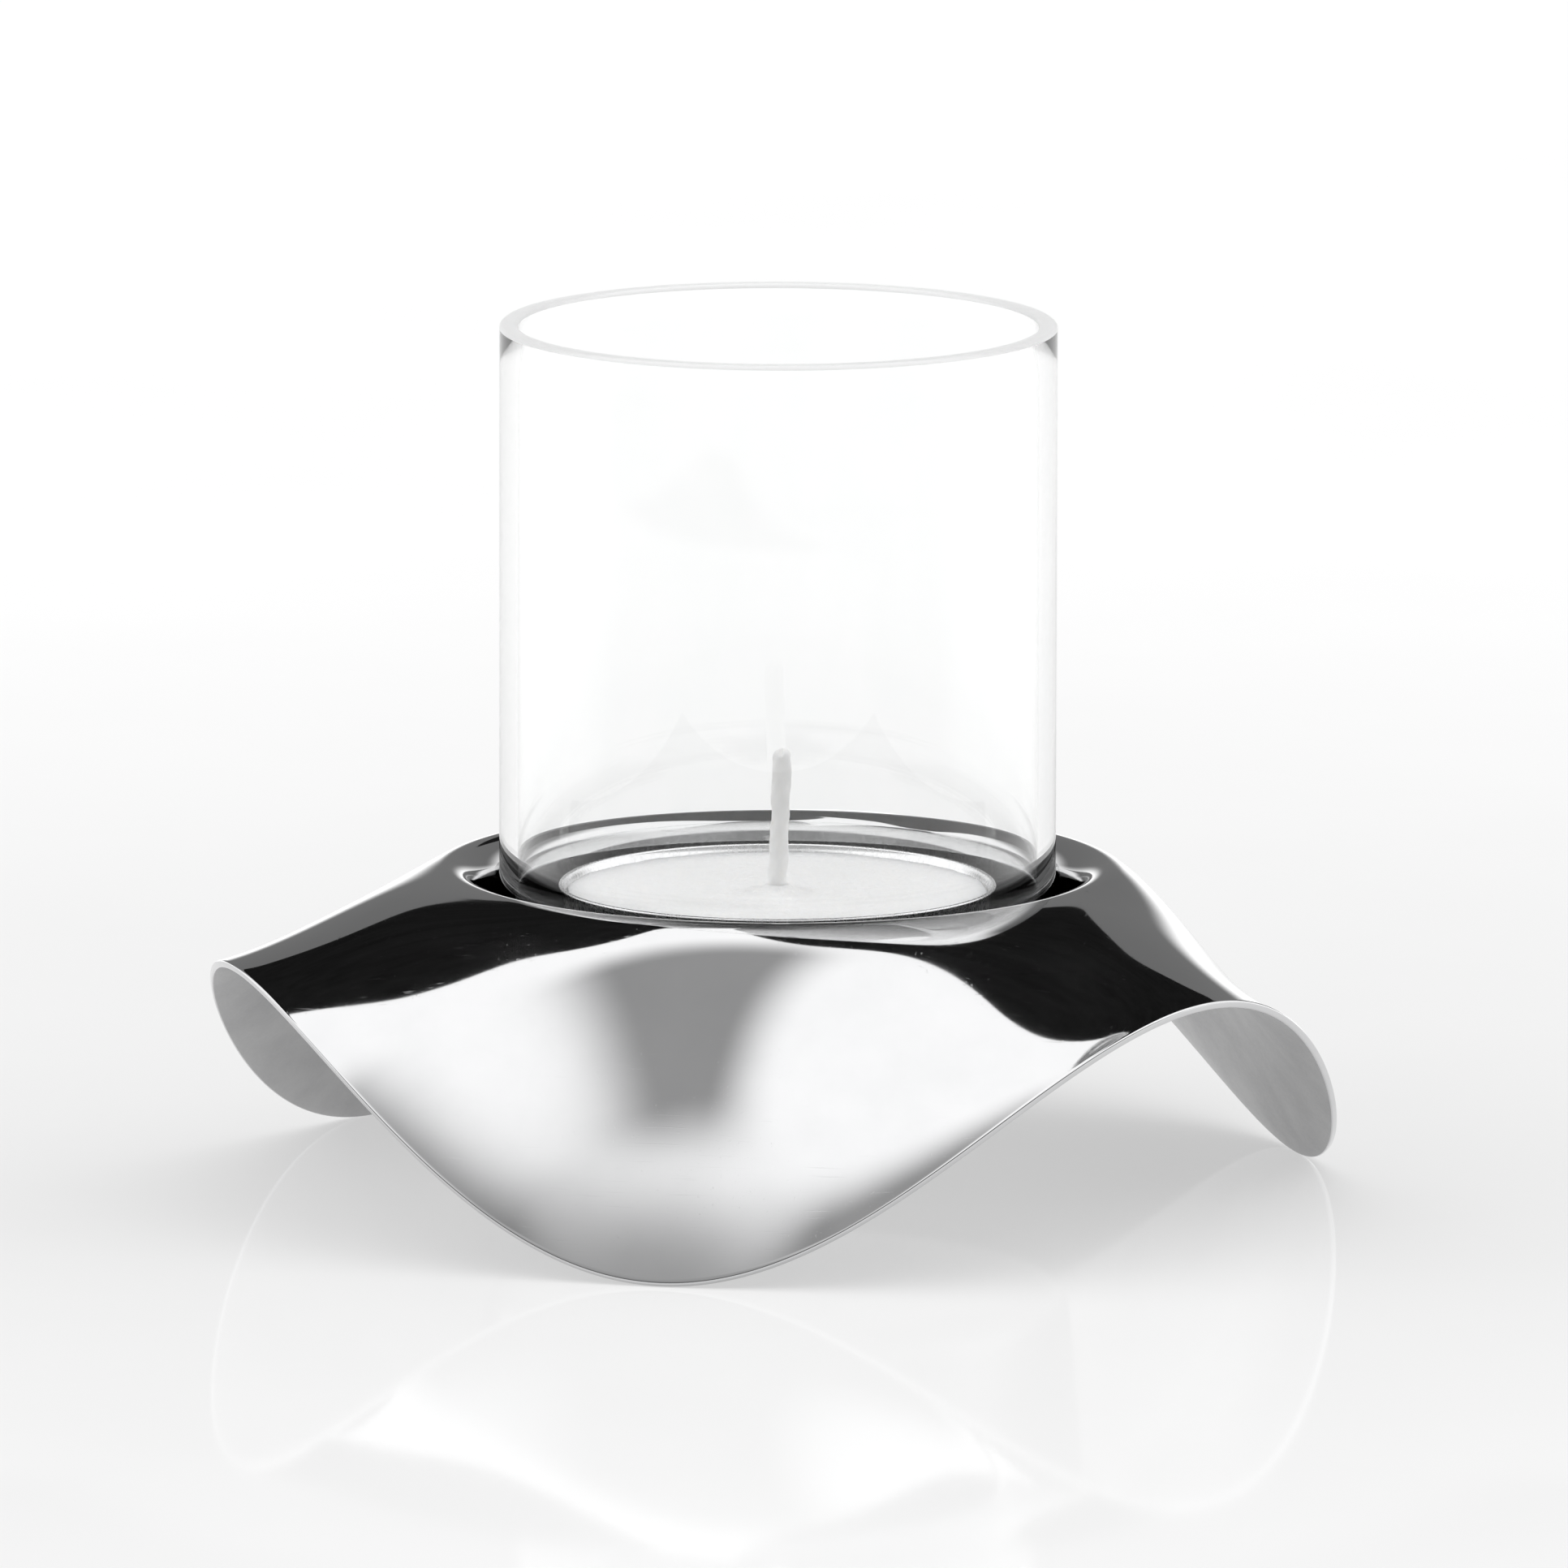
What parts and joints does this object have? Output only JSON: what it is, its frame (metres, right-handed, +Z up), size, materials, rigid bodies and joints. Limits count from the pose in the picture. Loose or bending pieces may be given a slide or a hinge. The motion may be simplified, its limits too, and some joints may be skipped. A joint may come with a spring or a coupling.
{
  "type": "tealight holder",
  "caption": "Tealight holder: a wavy polished steel base on legs holds a clear glass tumbler in its well, with a tealight inside.",
  "frame": {"origin": "on the table, under the middle of the well", "axes": "+Z up along the glass; one leg points along -Y and the other two 120 degrees either side of it"},
  "size_m": [0.1006, 0.1006, 0.0777],
  "materials": {
    "polished_steel": "stainless steel sheet, mirror polished on top, satin underneath",
    "clear_glass": "clear, fire-polished rim",
    "cup_aluminium": "bright thin foil",
    "wax": "white paraffin wax, slightly grainy and translucent",
    "waxed_cotton": "braided cotton soaked in wax",
    "tinplate": "thin tinplate"
  },
  "bodies": {
    "base": {"wave_base": "polished_steel"},
    "glass_body": {"glass": "clear_glass"},
    "tealight": {"tealight_cup": "cup_aluminium", "tealight_wax": "wax", "wick": "waxed_cotton", "wick_sustainer": "tinplate"}
  },
  "joints": [
    {"name": "glass_lift", "type": "slide", "parent": "base", "child": "glass_body", "axis": [0, 0, 1], "range_m": [0, 0.03]},
    {"name": "tealight_lift", "type": "slide", "parent": "glass_body", "child": "tealight", "axis": [0, 0, 1], "range_m": [0, 0.075]}
  ]
}
